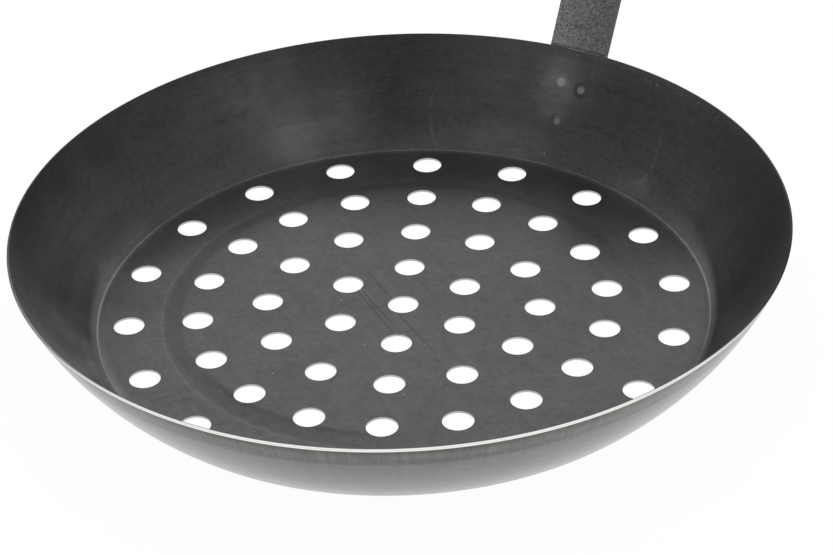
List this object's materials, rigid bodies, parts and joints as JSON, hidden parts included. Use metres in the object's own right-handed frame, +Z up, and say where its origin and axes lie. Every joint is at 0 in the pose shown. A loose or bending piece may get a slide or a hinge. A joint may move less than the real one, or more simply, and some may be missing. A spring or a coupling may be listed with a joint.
{
  "type": "chestnut roasting pan",
  "caption": "Round shallow steel pan with a perforated flat floor and a flared, gently bulging wall, carried by a long strap handle riveted to the wall and slotted for hanging.",
  "frame": {"origin": "on the surface the pan stands on, under the middle of the overall length and width; the pan's own axis is parallel to Z at y = -0.1065 m", "axes": "+Z up, +Y from the pan towards the free end of the handle, +X to the right seen from the pan"},
  "size_m": [0.2808, 0.4938, 0.1402],
  "materials": {
    "blued_steel": "dark blued sheet steel, satin, with fine spun grain and a bright cut rim",
    "hammered_coat": "dark grey hammered paint over steel strip",
    "rivet_steel": "dulled steel rivet heads"
  },
  "bodies": {
    "root": {"pan_body": "blued_steel", "handle_strap": "hammered_coat", "rivet_upper_left": "rivet_steel", "rivet_upper_right": "rivet_steel", "rivet_lower": "rivet_steel"}
  },
  "joints": []
}
